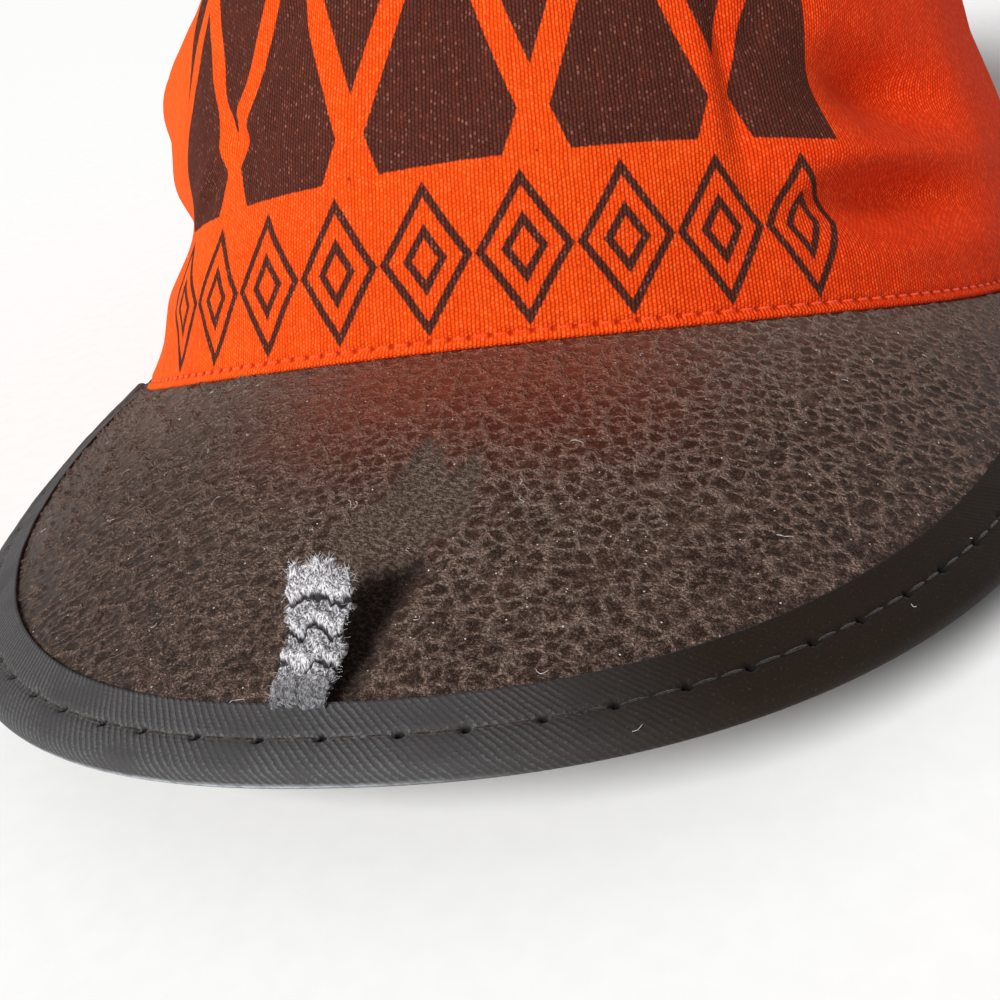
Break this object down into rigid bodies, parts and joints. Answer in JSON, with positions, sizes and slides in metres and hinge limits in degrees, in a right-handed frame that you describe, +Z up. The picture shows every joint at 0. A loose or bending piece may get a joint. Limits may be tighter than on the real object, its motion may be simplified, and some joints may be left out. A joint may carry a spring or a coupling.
{
  "type": "painter cap",
  "caption": "Soft cotton painter cap with a tall oval crown, an arched grained visor with a bound edge and a torn strip of its covering.",
  "frame": {"origin": "middle of the cap's length and width, on the table that the crown's hem stands on", "axes": "+Z up, the visor points to -Y, +X to the wearer's left"},
  "size_m": [0.164, 0.2695, 0.104],
  "materials": {
    "orange_cotton": "plain-woven cotton, soft, matte, ribbed weave, faded dark printed shapes on the front",
    "grained_vinyl": "worn leather-grained vinyl, black-brown with dusty lighter creases, low gloss",
    "black_twill_tape": "diagonal twill tape, matte, with a sewn line near its inner edge",
    "grey_backing": "torn fuzzy felt backing, matte"
  },
  "bodies": {
    "root": {"crown_band": "orange_cotton", "crown_top": "orange_cotton", "visor": "grained_vinyl", "visor_binding": "black_twill_tape", "torn_flap": "grey_backing"}
  },
  "joints": []
}
